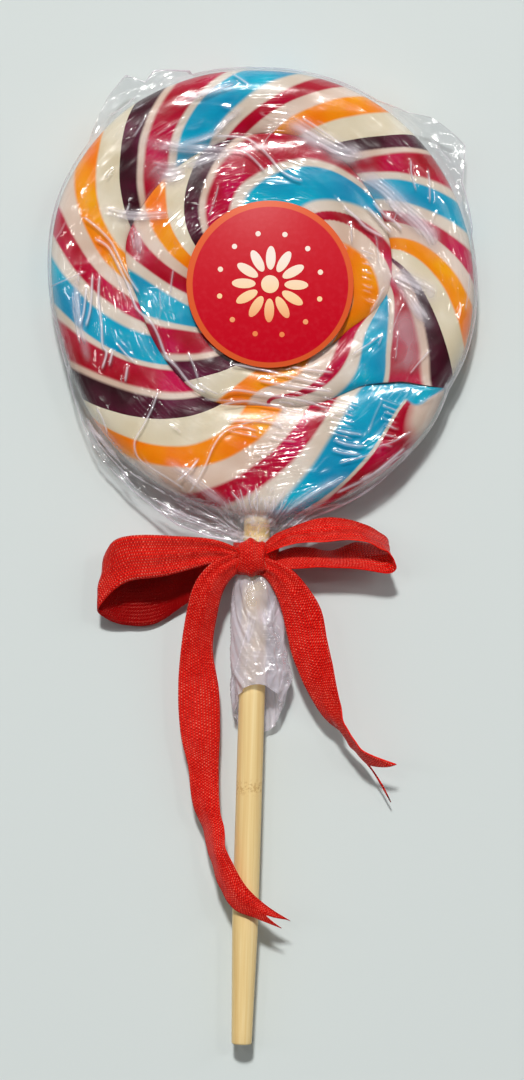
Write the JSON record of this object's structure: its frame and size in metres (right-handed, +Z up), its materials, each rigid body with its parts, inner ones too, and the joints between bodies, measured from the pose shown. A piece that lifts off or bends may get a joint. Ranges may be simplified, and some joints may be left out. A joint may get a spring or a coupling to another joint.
{
  "type": "swirl lollipop",
  "caption": "Round swirl lollipop of coiled striped rope candy on a wooden stick, in a clear film bag tied at the neck with a ribbon bow.",
  "frame": {"origin": "on the table under the middle of the candy disc, on the flat back of the film bag", "axes": "+Z up, out of the shown face; +Y from the stick's free end to the disc; +X to the right, seen from above"},
  "size_m": [0.1031, 0.2325, 0.016],
  "materials": {
    "candy": "smooth glossy hard candy, striped",
    "film": "clear wrinkled film",
    "label": "satin printed sticker paper",
    "ribbon": "ribbed woven satin ribbon",
    "stick": "smooth bare bamboo"
  },
  "bodies": {
    "root": {"candy": "candy", "film": "film", "label": "label", "ribbon": "ribbon", "stick": "stick"}
  },
  "joints": []
}
